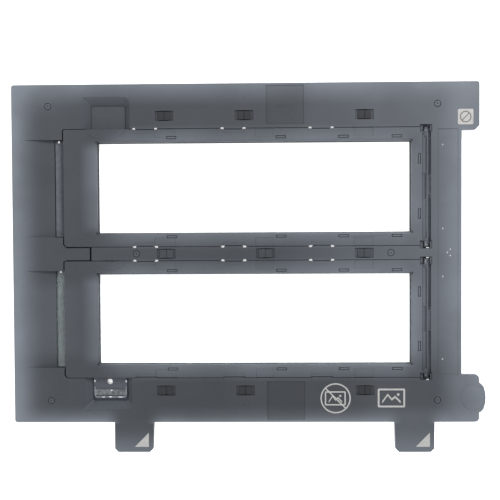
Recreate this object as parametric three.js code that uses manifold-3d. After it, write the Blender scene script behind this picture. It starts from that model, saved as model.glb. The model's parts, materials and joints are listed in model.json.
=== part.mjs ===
// Roll-film carrier for a flatbed scanner: a flat two-bay plate with hinged frame covers.
// Millimetres. +X runs along the film towards the hinges, +Y across it, +Z up.
// All shapes are first laid out from the plate's left edge (x = 0), its middle line (y = 0) and
// the glass (z = 0); the exported group then moves the origin to the centre of the part's footprint.
import * as THREE from 'three';
import { mergeVertices } from 'three/addons/utils/BufferGeometryUtils.js';
import Module from 'manifold-3d';

const wasm = await Module();
wasm.setup();

// ---------------------------------------------------------------- driving dimensions
const PLATE = { length: 287.2, width: 217, corner: 1.6 };
const EAR = { right: 298.5, upperStart: 77.8, lowerStart: 78.2, chamfer: 2.8, corner: 2.6 };
const THUMB = { right: 302.6, from: -102.4, to: -83.6, bulge: 1.4, corner: 2 };
const TAB = { width: 25.2, reach: 19.4, lefts: [64.7, 244.8], corner: 2.2, taper: 0.4 };

// Levels above the scanner glass.
const Z = {
  base: 1.0, // underside of the lower moulding
  frameTop: 2.6, // its floor
  shellBottom: 2.9, // lower edge of the upper moulding
  ledge: 3.0, // film ledge, with the film a little over 3 mm above the glass
  insertBottom: 3.3,
  insertTop: 4.6,
  coverBottom: 4.9,
  maskTop: 5.6, // top of the pressure frame inside each cover
  coverSkin: 5.9,
  skin: 6.2, // underside of the upper moulding's skin
  hookLedge: 6.8, // ledges that each snap hook grips
  bevel: 7.5, // lower edge of the slope around a cover's opening
  top: 8.0,
};

const CHANNEL = { inner: 10.9, outer: 73.2 }; // side walls of the film channel, 62.3 apart
const WINDOW = { x0: 55.2, x1: 255.0, inner: 13.5, outer: 70.9 }; // picture window of each bay
const COVER = { x0: 33.2, x1: 265.9, inner: 4.6, outer: 79.75 };
const COVER_CORNER = { rear: 1.0, front: 2.3 }; // radii of a cover's two left-hand corners
// A cover's opening has a sloping rim: its size below the slope and at the top face.
const COVER_OPENING = {
  low: { x0: 54.7, x1: 255.5, inner: 13.1, outer: 71.3 },
  high: { x0: 53.3, x1: 257.3, inner: 12.0, outer: 73.0 },
};
const BAY = { x0: 32.5, x1: 267.8, inner: 4.3, outer: 80.25 };
const REBATE = { reach: 1.0, z0: 4.1, z1: 4.6 }; // narrow ledge below a cover's long edges
const BAR = { slotX0: 49.6, slotX1: 50.7, stub: 3.9 }; // the middle bar and its stub on the left band
const RAMP = { start: 7.5, end: 27.0, depth: 3.1 }; // film run-out slope at the left
const FILM_STEP = { from: 27.4, to: 32.9, height: 4.5 }; // short slope from there down to the film ledge
// Low tongues of the plate that enter each cover's long edges, and the shelf beside each of them.
const TONGUE = {
  centres: [85.5, 142.1, 198.3], halfWidth: 6.8, depth: 0.5, gap: 0.35, shelf: 2.6, shelfDepth: 0.3,
};
const RELIEF = { offset: 7.0, halfX: 0.9, near: 0.5, far: 0.65 }; // see-through holes at a tongue's corners
const SPLAY = { x: 166, y: 20, rate: 0.0103 }; // how the lower moulding's notches are spread from this point
const HINGE = { x: 264.8, z: 6.45, pinRadius: 0.8, holeRadius: 1.1, barrelRadius: 1.5 };
// Both ends of a hinge, measured outwards from the middle line: the notch in plate and cover, the post that
// holds the pin, the knuckle on the cover with its bore, and the pin.
const HINGE_ENDS = [
  { notch: [2.6, 7.6], post: [3.9, 5.2], knuckle: [5.5, 9.2], bore: [5.2, 8.9], pin: [4.1, 8.35] },
  { notch: [76.9, 81.5], post: [78.7, 79.4], knuckle: [74.1, 78.4], bore: [74.4, 78.7], pin: [74.95, 79.55] },
];
const HINGE_NOTCH = { x0: 260.9, x1: 268.5 };
// Raised steps on both sides of the axis in each notch.
const HINGE_STEPS = [{ x0: 261.2, x1: 262.9, z0: 4.4, z1: 6.3 }, { x0: 267.4, x1: 268.6, z0: 5.4, z1: 6.9 }];
const SEAM = { x0: 263.5, z0: 3.6, z1: 4.1, from: 3.9, to: 79.5 }; // floor below the cover's hinge edge
const STOP = { x: 267.1, bottom: 6.2, edge: 7.2, from: 36.4, to: 48.6, clear: 0.8 }; // lug on that edge
const GROOVE = { x0: 262.2, x1: 264.9, slope: 0.6, depth: 1.0, padDepth: 1.5, padFrom: 34.4, padTo: 50.4 };
const RECESS = { x0: 44.8, x1: 76.2, far: 100.4, corner: 4.6, floorX0: 50.3, floorX1: 72.8, floorFar: 95.3 };
const INSERT = { x0: 27.4, x1: 258.0, tabX0: 50.9, tabX1: 72.3, tabFar: 93.3, holeX: 61.6, holeY: 82.4 };
const SNAP = { outerX: [98.2, 149.2, 225.7], middleX: [98.9, 162.4, 225.4], outerY: 88.1 };
const SNAP_WINDOW = { halfX: 5.85, halfY: 3.15, ledgeX: 2.7 };
const HOOK = { x0: 0.25, x1: 2.2, noseX: 4.2, halfY: 2.75, noseZ: 7.1, top: 7.6, rib: 0.4 };
const COVER_POCKETS = [[91.6, 104.8], [156.2, 167.6], [219.2, 231.2]]; // shallow squares on the long edges
const CLIP = {
  length: 6.5, width: 1.7, inner: 10.9, outer: 74.2, right: 260.5,
  alongX: [102.6, 172.5, 212.4, 246.3],
  alongY: [24.8, 59.8],
};
// Height feet: name, place and radius. The two under the middle bar are smaller.
const FEET = [
  ['rear_left_foot', 23.6, 94.6, 5.6],
  ['rear_right_foot', 272.0, 94.5, 5.6],
  ['front_left_foot', 23.8, -94.5, 5.6],
  ['front_right_foot', 272.0, -94.5, 5.6],
  ['middle_left_foot', 79.6, 0, 3.3],
  ['middle_right_foot', 242.4, 0, 3.3],
];
const FOOT = { pegRadius: 1.5, headRadius: 1.9, headZ: 7.45, clearance: 0.3 };
const PANEL = { x0: 272.2, x1: 285.0, y0: -78.3, y1: 78.6, depth: 0.5 }; // inset strip on the right band
const SENSOR_HOLES = [
  [275.4, 68.6], [275.5, 15.3], [280.3, 2.0], [278.4, 0], [280.3, -2.0], [275.5, -15.4], [275.3, -68.3],
];
const SENSOR_HOLE_RADIUS = 0.5;
// Plain square panels on both bands.
const BADGE = { x0: 163.2, x1: 187.3, near: 82.3, far: 107.0, depth: 0.6 };
const PLATE_MARK = { x0: 170.9, x1: 179.8, y0: 89.8, y1: 94.3, depth: 0.9 }; // sunken field in the rear panel
const PIN_MARKS = [[148.6, 99.4], [147.9, -97.9], [143.1, -103.0]]; // dents left by the mould's ejector pins
const LABEL = { x: 289.6, y: 86.0, size: 9.9, thickness: 0.3 };
const DOME = { height: 0.9, step: 0.25 };
const THUMB_DOME = { x: 294.4, y: -92.4, rx: 7.6, ry: 8.4 };
const LIFTS = { upper: { x: 60.2, rx: 12.6, ry: 6.2 }, lower: { x: 62.2, rx: 10.1, ry: 5.7 } };
// Small gaps that show light at the left edges of the covers.
const SPECKS = [[33.0, 51.8], [33.0, 40.6], [33.0, 25.5], [29.3, 72.2], [29.5, -11.5]];

const PLASTIC = { color: 0x55595f, roughness: 0.55, metalness: 0 };
const FINISH = {
  shell: PLASTIC,
  frame: { color: 0x484c52, roughness: 0.6, metalness: 0 },
  cover: { color: 0x595d64, roughness: 0.5, metalness: 0 },
  mask: { color: 0x3c4046, roughness: 0.6, metalness: 0 },
  clear: { color: 0xeaf0f0, roughness: 0.05, metalness: 0 },
  steel: { color: 0xa8abad, roughness: 0.3, metalness: 1 },
  foot: { color: 0x3a3d42, roughness: 0.6, metalness: 0 },
  paper: { color: 0xcbcac6, roughness: 0.7, metalness: 0 },
};

// ---------------------------------------------------------------- solids
function solid(geometry) {
  const bare = geometry.clone();
  bare.deleteAttribute('normal');
  bare.deleteAttribute('uv');
  const merged = mergeVertices(bare, 1e-4);
  return new wasm.Manifold(new wasm.Mesh({
    numProp: 3,
    vertProperties: new Float32Array(merged.attributes.position.array),
    triVerts: new Uint32Array(merged.index.array),
  }));
}

function box(x0, x1, y0, y1, z0, z1) {
  const geometry = new THREE.BoxGeometry(x1 - x0, y1 - y0, z1 - z0);
  geometry.translate((x0 + x1) / 2, (y0 + y1) / 2, (z0 + z1) / 2);
  return solid(geometry);
}

// The same box on both sides of the middle line, or on one of them.
function bandBox(x0, x1, near, far, z0, z1, side) {
  return side > 0 ? box(x0, x1, near, far, z0, z1) : box(x0, x1, -far, -near, z0, z1);
}

// A solid between two outlines with equally many corners, for sloping walls.
function loft(low, high, z0, z1) {
  const count = low.length;
  const ring = (points, z) => points.flatMap(([x, y]) => [x, y, z]);
  const sides = low.flatMap((_, i) => {
    const j = (i + 1) % count;
    return [i, j, count + j, i, count + j, count + i];
  });
  const fan = THREE.ShapeUtils.triangulateShape(low.map(([x, y]) => new THREE.Vector2(x, y)), []);
  const floor = fan.flatMap(([a, b, c]) => [a, c, b]);
  const lid = fan.flatMap(([a, b, c]) => [count + a, count + b, count + c]);
  const geometry = new THREE.BufferGeometry();
  const corners = [...ring(low, z0), ...ring(high, z1)];
  geometry.setAttribute('position', new THREE.Float32BufferAttribute(corners, 3));
  geometry.setIndex([...sides, ...floor, ...lid]);
  return solid(geometry);
}

// Corner points of a rectangle whose far corners have the given radii, anticlockwise.
function softRectangle(x0, x1, near, far, leftRadius, rightRadius) {
  const steps = 6;
  const points = [[x0, near], [x1, near]];
  for (let i = 0; i <= steps; i += 1) {
    const turn = (i / steps) * Math.PI / 2;
    points.push([
      x1 - rightRadius + rightRadius * Math.cos(turn), far - rightRadius + rightRadius * Math.sin(turn)]);
  }
  for (let i = 0; i <= steps; i += 1) {
    const turn = (1 + i / steps) * Math.PI / 2;
    points.push([
      x0 + leftRadius + leftRadius * Math.cos(turn),
      far - leftRadius + leftRadius * Math.sin(turn),
    ]);
  }
  return points;
}

// The same outline on the other side of the middle line, still anticlockwise.
const mirror = (points, side) => (side > 0 ? points : points.map(([x, y]) => [x, -y]).reverse());

function prism(shape, z0, z1) {
  const settings = { depth: z1 - z0, bevelEnabled: false, curveSegments: 6 };
  const geometry = new THREE.ExtrudeGeometry(shape, settings);
  geometry.translate(0, 0, z0);
  return solid(geometry);
}

function disc(x, y, radius, z0, z1, sides = 24) {
  const geometry = new THREE.CylinderGeometry(radius, radius, z1 - z0, sides);
  geometry.rotateX(Math.PI / 2);
  geometry.translate(x, y, (z0 + z1) / 2);
  return solid(geometry);
}

// A round bar along Y.
function bar(x, z, radius, y0, y1, sides = 12) {
  const geometry = new THREE.CylinderGeometry(radius, radius, y1 - y0, sides);
  geometry.translate(x, (y0 + y1) / 2, z);
  return solid(geometry);
}

// A low rounded swelling that stands on the top face.
function dome({ x, y, rx, ry }, height) {
  const geometry = new THREE.SphereGeometry(1, 40, 20);
  geometry.rotateX(Math.PI / 2);
  const squash = new THREE.Matrix4().makeScale(rx * 1.1, ry * 1.1, height * 2.4);
  geometry.applyMatrix4(squash);
  geometry.translate(x, y, Z.top - height * 1.4);
  return solid(geometry);
}

// A flat oval plate.
function ellipse({ x, y, rx, ry }, z0, z1) {
  const geometry = new THREE.CylinderGeometry(1, 1, z1 - z0, 48);
  geometry.rotateX(Math.PI / 2);
  geometry.scale(rx, ry, 1);
  geometry.translate(x, y, (z0 + z1) / 2);
  return solid(geometry);
}

const join = (first, ...others) => others.reduce((whole, piece) => whole.add(piece), first);
const cut = (first, ...others) => others.reduce((whole, piece) => whole.subtract(piece), first);

function roundedRectangle(x0, x1, y0, y1, radius) {
  const shape = new THREE.Shape();
  shape.moveTo(x0 + radius, y0);
  shape.lineTo(x1 - radius, y0);
  shape.absarc(x1 - radius, y0 + radius, radius, -Math.PI / 2, 0);
  shape.lineTo(x1, y1 - radius);
  shape.absarc(x1 - radius, y1 - radius, radius, 0, Math.PI / 2);
  shape.lineTo(x0 + radius, y1);
  shape.absarc(x0 + radius, y1 - radius, radius, Math.PI / 2, Math.PI);
  shape.lineTo(x0, y0 + radius);
  shape.absarc(x0 + radius, y0 + radius, radius, Math.PI, Math.PI * 1.5);
  return shape;
}

// Outline of the plate with its ears, thumb tab and locating tabs.
function plateOutline() {
  const half = PLATE.width / 2;
  const { right } = EAR;
  const waist = PLATE.length;
  const upper = EAR.upperStart;
  const lower = -EAR.lowerStart;
  const tip = THUMB.right;
  const { corner } = PLATE;
  const shape = new THREE.Shape();
  shape.moveTo(corner, -half);
  for (const left of TAB.lefts) {
    // The side that faces the other tab tapers a little.
    const reach = half + TAB.reach;
    const [start, end] = [left, left + TAB.width];
    const [tipStart, tipEnd] = left < PLATE.length / 2 ? [start, end - TAB.taper] : [start + TAB.taper, end];
    shape.lineTo(start, -half);
    shape.lineTo(tipStart, -reach + TAB.corner);
    shape.lineTo(tipStart + TAB.corner, -reach);
    shape.lineTo(tipEnd - TAB.corner, -reach);
    shape.lineTo(tipEnd, -reach + TAB.corner);
    shape.lineTo(end, -half);
  }
  shape.lineTo(right - EAR.corner, -half);
  shape.absarc(right - EAR.corner, -half + EAR.corner, EAR.corner, -Math.PI / 2, 0);
  shape.lineTo(right, THUMB.from);
  shape.lineTo(tip - THUMB.bulge - THUMB.corner, THUMB.from);
  shape.lineTo(tip - THUMB.bulge, THUMB.from + THUMB.corner);
  shape.quadraticCurveTo(
    tip + THUMB.bulge, (THUMB.from + THUMB.to) / 2, tip - THUMB.bulge, THUMB.to - THUMB.corner);
  shape.lineTo(tip - THUMB.bulge - THUMB.corner, THUMB.to);
  shape.lineTo(right, THUMB.to);
  shape.lineTo(right, lower - EAR.corner);
  shape.absarc(right - EAR.corner, lower - EAR.corner, EAR.corner, 0, Math.PI / 2);
  shape.lineTo(waist, lower);
  shape.lineTo(waist, upper);
  shape.lineTo(right - EAR.chamfer, upper);
  shape.lineTo(right, upper + EAR.chamfer);
  shape.lineTo(right, half - corner);
  shape.absarc(right - corner, half - corner, corner, 0, Math.PI / 2);
  shape.lineTo(corner, half);
  shape.absarc(corner, half - corner, corner, Math.PI / 2, Math.PI);
  shape.lineTo(0, -half + corner);
  shape.absarc(corner, -half + corner, corner, Math.PI, Math.PI * 1.5);
  return shape;
}

// A solid with a fixed outline in X and Z, on one side of the middle line from near to far.
function section(points, near, far, side) {
  const outline = new THREE.Shape(points.map(([x, z]) => new THREE.Vector2(x, z)));
  const geometry = new THREE.ExtrudeGeometry(outline, { depth: far - near, bevelEnabled: false });
  geometry.rotateX(Math.PI / 2);
  geometry.translate(0, side > 0 ? far : -near, 0);
  return solid(geometry);
}

// Long slope that the end of the film slides along, as a cutter.
function rampCutter(side) {
  return section([
    [RAMP.start, Z.top],
    [RAMP.end, Z.top - RAMP.depth],
    [RAMP.end, Z.base - 1],
    [BAY.x0 + 1, Z.base - 1],
    [BAY.x0 + 1, Z.top + 1],
    [RAMP.start, Z.top + 1],
  ], CHANNEL.inner, CHANNEL.outer, side);
}

const snapCentres = [
  ...SNAP.outerX.map((x) => [x, SNAP.outerY]),
  ...SNAP.middleX.map((x) => [x, 0]),
  ...SNAP.outerX.map((x) => [x, -SNAP.outerY]),
];

// Small see-through holes where the corners of the tongues meet a cover. They widen below the skin,
// and the front edge of the lower cover has none.
const reliefCentres = TONGUE.centres.flatMap((x) => [x - RELIEF.offset, x + RELIEF.offset])
  .flatMap((x) => [[x, BAY.outer], [x, BAY.inner], [x, -BAY.inner]]);
const reliefHoles = reliefCentres.flatMap(([x, y]) => {
  const { halfX, near, far } = RELIEF;
  const [below, above] = Math.abs(y) === BAY.outer ? [far, near] : [near, far];
  const [y0, y1] = y > 0 ? [y - below, y + above] : [y - above, y + below];
  return [
    box(x - halfX, x + halfX, y0, y1, Z.base - 1, Z.top + 1),
    box(x - halfX - 1, x + halfX + 1, y0 - 0.9, y1 + 0.5, Z.base - 1, Z.coverBottom + 0.6),
  ];
});

// A cover's outline, grown by a margin to make the bay that it lies in. Both covers have the same handing.
function coverShape(side, margin, tongueMargin, left, right) {
  const [front, rear] = side > 0 ? [COVER.inner, COVER.outer] : [-COVER.outer, -COVER.inner];
  const [y0, y1] = [front - margin, rear + margin];
  const [frontRadius, rearRadius] = [COVER_CORNER.front + margin, COVER_CORNER.rear + margin];
  const half = TONGUE.halfWidth + tongueMargin;
  const depth = TONGUE.depth + tongueMargin + margin;
  const shape = new THREE.Shape();
  shape.moveTo(left + frontRadius, y0);
  for (const x of TONGUE.centres) {
    shape.lineTo(x - half, y0);
    shape.lineTo(x - half, y0 + depth);
    shape.lineTo(x + half, y0 + depth);
    shape.lineTo(x + half, y0);
  }
  shape.lineTo(right, y0);
  shape.lineTo(right, y1);
  for (const x of [...TONGUE.centres].reverse()) {
    shape.lineTo(x + half, y1);
    shape.lineTo(x + half, y1 - depth);
    shape.lineTo(x - half, y1 - depth);
    shape.lineTo(x - half, y1);
  }
  shape.lineTo(left + rearRadius, y1);
  shape.absarc(left + rearRadius, y1 - rearRadius, rearRadius, Math.PI / 2, Math.PI);
  shape.lineTo(left, y0 + frontRadius);
  shape.absarc(left + frontRadius, y0 + frontRadius, frontRadius, Math.PI, Math.PI * 1.5);
  return shape;
}

// ---------------------------------------------------------------- base mouldings
function hollows() {
  const below = Z.base - 1;
  const wall = 1.8;
  const half = PLATE.width / 2;
  const bands = [1, -1].flatMap((side) => [
    bandBox(wall, RECESS.x0 - 3, BAY.outer + wall, half - wall, below, Z.skin, side),
    bandBox(RECESS.x1 + 3, EAR.right - wall, BAY.outer + wall + 1.5, half - wall, below, Z.skin, side),
  ]);
  const tabs = TAB.lefts.map((left) => box(
    left + wall, left + TAB.width - wall, -half - TAB.reach + wall, -half - 1, below, Z.skin));
  return [
    ...bands,
    ...tabs,
    box(BAY.x1 + wall + 0.6, PLATE.length - wall, -EAR.lowerStart, EAR.upperStart, below, Z.skin),
    box(BAR.slotX1 + wall, 258, -2.7, 2.7, below, Z.skin),
  ];
}

function bayCutters(side) {
  const below = Z.base - 1;
  const above = Z.top + 1;
  const near = BAY.outer - 1;
  const floor = softRectangle(RECESS.floorX0, RECESS.floorX1, near, RECESS.floorFar, 0.5, 1.6);
  const rim = softRectangle(RECESS.x0, RECESS.x1, near, RECESS.far, 0.8, RECESS.corner);
  return [
    prism(coverShape(side, COVER.inner - BAY.inner, -TONGUE.gap, BAY.x0, BAY.x1), below, above),
    // The seam is wider beside the stub of the middle bar and at the cover's left end.
    bandBox(BAY.x0 + 2, BAR.slotX0, BAR.stub, BAY.inner + 1, below, above, side),
    rampCutter(side),
    loft(mirror(floor, side), mirror(rim, side), Z.shellBottom - 0.01, Z.top + 0.001),
  ];
}

// Ledges that close the seams along a cover's long edges from below, left out at the finger recess.
const rebates = (side) => [
  [BAR.slotX1 + 2, SEAM.x0 - 3.5, BAY.inner - 0.1, BAY.inner + REBATE.reach],
  [BAY.x0 + 3, RECESS.x0 - 1, BAY.outer - REBATE.reach, BAY.outer + 0.1],
  [RECESS.x1 + 1, SEAM.x0 - 3.5, BAY.outer - REBATE.reach, BAY.outer + 0.1],
].map((extent) => bandBox(...extent, REBATE.z0, REBATE.z1, side));

// A round bar on the hinge axis, on one side of the middle line.
function hingeBar(radius, near, far, side, sides = 20) {
  const [y0, y1] = side > 0 ? [near, far] : [-far, -near];
  return bar(HINGE.x, HINGE.z, radius, y0, y1, sides);
}

// What the plate has at a hinge: a floor below the seam, and posts that hold the pins in their notches.
function hingeSide(shell, side) {
  const spans = [[SEAM.from, STOP.from - STOP.clear], [STOP.to + STOP.clear, SEAM.to]];
  const floors = spans.map((span) => bandBox(SEAM.x0, BAY.x1 + 1, ...span, SEAM.z0, SEAM.z1, side));
  let made = join(shell, ...floors);
  for (const { notch, post, bore } of HINGE_ENDS) {
    const inwards = notch[0] < BAY.inner;
    const [near, far] = inwards ? [notch[0] - 0.1, notch[1] - 0.3] : [notch[0] + 0.3, notch[1] + 0.1];
    made = cut(made, bandBox(HINGE_NOTCH.x0, HINGE_NOTCH.x1, ...notch, Z.coverBottom, Z.top + 1, side));
    made = join(made,
      ...HINGE_STEPS.map(({ x0, x1, z0, z1 }) => bandBox(x0, x1, near, far, z0, z1, side)),
      bandBox(HINGE.x - 0.9, HINGE.x + 0.9, ...post, SEAM.z0, HINGE.z, side),
      hingeBar(HINGE.barrelRadius, ...post, side));
    const [from, to] = post[0] < bore[0] ? [post[0] - 0.6, post[1] + 0.1] : [post[0] - 0.1, post[1] + 0.6];
    made = cut(made, hingeBar(HINGE.holeRadius, from, to, side));
  }
  return made;
}

// Light holes beside three of the four hinge pins, in the upper moulding and a little
// further out in the lower.
const upperHingeHoles = [
  ...[1, -1].map((side) => bandBox(264.6, 267.3, 2.7, 3.7, Z.base - 1, Z.coverBottom + 0.3, side)),
  bandBox(264.8, 267.2, 80.9, 82.6, Z.base - 1, 7.2, -1),
];
const lowerHingeHoles = [
  bandBox(265.6, 267.7, 2.65, 3.3, Z.base - 1, Z.top, 1),
  bandBox(265.6, 267.4, 3.1, 3.75, Z.base - 1, Z.top, -1),
  bandBox(265.7, 267.5, 81.8, 82.7, Z.base - 1, Z.top, -1),
];

function topShell() {
  const above = Z.top + 1;
  const below = Z.base - 1;
  let shell = cut(prism(plateOutline(), Z.shellBottom, Z.top), ...hollows());

  for (const side of [1, -1]) {
    shell = join(cut(shell, ...bayCutters(side)), ...rebates(side));
    shell = hingeSide(shell, side);
    shell = cut(shell, bandBox(BADGE.x0, BADGE.x1, BADGE.near, BADGE.far, Z.top - BADGE.depth, above, side));
  }

  // The middle bar stops short of the left band.
  shell = cut(shell, box(BAR.slotX0, BAR.slotX1, -BAY.inner - 1, BAY.inner + 1, below, above),
    ...reliefHoles, ...upperHingeHoles);
  shell = cut(shell,
    box(PLATE_MARK.x0, PLATE_MARK.x1, PLATE_MARK.y0, PLATE_MARK.y1, Z.top - PLATE_MARK.depth, above),
    ...PIN_MARKS.map(([x, y]) => disc(x, y, 0.7, Z.top - 0.3, above, 12)));

  // Snap windows, each with a ledge at both ends for the hook's noses.
  for (const [x, y] of snapCentres) {
    const { halfX, halfY, ledgeX } = SNAP_WINDOW;
    shell = cut(shell, box(x - halfX, x + halfX, y - halfY, y + halfY, below, above));
    shell = join(shell,
      box(x - halfX - 0.5, x - ledgeX, y - halfY - 0.3, y + halfY + 0.3, Z.skin, Z.hookLedge),
      box(x + ledgeX, x + halfX + 0.5, y - halfY - 0.3, y + halfY + 0.3, Z.skin, Z.hookLedge));
  }
  for (const [, x, y] of FEET) {
    shell = cut(shell,
      disc(x, y, FOOT.pegRadius + FOOT.clearance, below, above),
      disc(x, y, FOOT.headRadius + FOOT.clearance, FOOT.headZ - FOOT.clearance, above));
  }
  shell = cut(shell, box(PANEL.x0, PANEL.x1, PANEL.y0, PANEL.y1, Z.top - PANEL.depth, above));
  for (const [x, y] of SENSOR_HOLES) {
    shell = cut(shell, disc(x, y, SENSOR_HOLE_RADIUS, below, above, 12));
  }
  // The thumb rest rises from a low step.
  const rest = join(dome(THUMB_DOME, DOME.height), ellipse(THUMB_DOME, Z.top - 0.2, Z.top + DOME.step));
  return join(shell, rest.intersect(
    box(THUMB_DOME.x - 20, THUMB.right - 0.5, THUMB.from + 1, THUMB.to - 1, Z.top - 0.2, above + 1)));
}

function underFrame() {
  const below = Z.base - 1;
  const rise = Z.frameTop - 0.5;
  const half = PLATE.width / 2;
  let frame = prism(roundedRectangle(0, PLATE.length, -half, half, PLATE.corner), Z.base, Z.frameTop);

  for (const side of [1, -1]) {
    // Film ledge around the window, with guide walls along the long sides of the film.
    const [guideInner, guideOuter] = [CHANNEL.inner - 1.4, CHANNEL.outer + 0.1];
    const guides = [
      [BAY.x0 + 0.4, 260, guideInner, guideInner + 1.3],
      [BAY.x0 + 0.8, RECESS.floorX0, guideOuter, guideOuter + 1.4],
      [RECESS.floorX1, 260, guideOuter, guideOuter + 1.4],
    ];
    frame = join(frame,
      bandBox(RAMP.end + 0.4, 260, CHANNEL.inner, CHANNEL.outer, rise, Z.ledge, side),
      bandBox(RECESS.floorX0 + 0.4, RECESS.floorX1 - 0.4, CHANNEL.outer - 1, RECESS.floorFar - 0.4,
        rise, Z.ledge, side),
      ...guides.map(([x0, x1, near, far]) => bandBox(x0, x1, near, far, rise, Z.insertTop, side)));
    frame = cut(frame, bandBox(WINDOW.x0, WINDOW.x1, WINDOW.inner, WINDOW.outer, below, Z.top, side));
  }
  // Short slope that leads the upper film down to its ledge.
  frame = join(frame, section([
    [FILM_STEP.from, rise],
    [FILM_STEP.to, rise],
    [FILM_STEP.to, Z.ledge],
    [FILM_STEP.from, FILM_STEP.height],
  ], CHANNEL.inner + 0.3, CHANNEL.outer - 0.3, 1));

  // Light hole below the hole in the clear insert's tab, and the open underside of the right band.
  frame = cut(frame, disc(INSERT.holeX - 0.5, -INSERT.holeY - 0.5, 1.8, below, Z.top, 16));
  frame = cut(frame, box(PANEL.x0 + 0.6, PANEL.x1 - 1.6, PANEL.y0 + 4, PANEL.y1 - 4, below, Z.top));

  // See-through notches under the tongues' corners, a little further out than those above them, and under
  // the hinges and the upper cover's left edge.
  for (const [x, y] of reliefCentres) {
    const [outX, outY] = [x + (x - SPLAY.x) * SPLAY.rate, y + (y - SPLAY.y) * SPLAY.rate];
    frame = cut(frame, box(outX - 1.25, outX + 1.25, outY - 0.95, outY + 0.95, below, Z.top));
  }
  frame = cut(frame, ...lowerHingeHoles);
  for (const [x, y] of SPECKS) {
    frame = cut(frame, box(x - 0.8, x + 0.8, y - 0.7, y + 0.7, below, Z.top));
  }

  // Two-pronged snap hooks, with a low rib between the prongs, that stand up into the upper moulding.
  for (const [x, y] of snapCentres) {
    for (const [stemStart, stemEnd, noseStart, noseEnd] of [
      [HOOK.x0, HOOK.x1, HOOK.x0, HOOK.noseX],
      [-HOOK.x1, -HOOK.x0, -HOOK.noseX, -HOOK.x0],
    ]) {
      frame = join(frame,
        box(x + stemStart, x + stemEnd, y - HOOK.halfY, y + HOOK.halfY, rise, HOOK.top),
        box(x + noseStart, x + noseEnd, y - HOOK.halfY, y + HOOK.halfY, HOOK.noseZ, HOOK.top));
    }
    frame = join(frame, box(
      x - HOOK.x0 - 0.1, x + HOOK.x0 + 0.1, y - HOOK.halfY, y + HOOK.halfY, rise, HOOK.top - HOOK.rib));
  }

  // Bosses and sockets for the height feet.
  for (const [, x, y, radius] of FEET) {
    const boss = y === 0
      ? box(x - radius - 2, x + radius + 2, -2.4, 2.4, rise, Z.skin - 0.4)
      : disc(x, y, radius + 1.6, rise, Z.skin - 0.4);
    frame = cut(join(frame, boss),
      disc(x, y, radius + FOOT.clearance, below, Z.frameTop - 0.6),
      disc(x, y, FOOT.pegRadius + FOOT.clearance, below, Z.top));
  }
  return frame;
}

// ---------------------------------------------------------------- covers
// Centre and half sizes of each clip slot: along both long edges and down the hinge edge.
const clipPlaces = (side) => {
  const long = CLIP.alongX.flatMap((x) => [CLIP.inner, CLIP.outer].map((y) => [x, side * y, true]));
  const short = CLIP.alongY.map((y) => [CLIP.right, side * y, false]);
  return [...long, ...short];
};

function clipBox([x, y, along], margin, z0, z1) {
  const [a, b] = [CLIP.length / 2 - margin, CLIP.width / 2 - margin];
  const [halfX, halfY] = along ? [a, b] : [b, a];
  return box(x - halfX, x + halfX, y - halfY, y + halfY, z0, z1);
}

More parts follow.
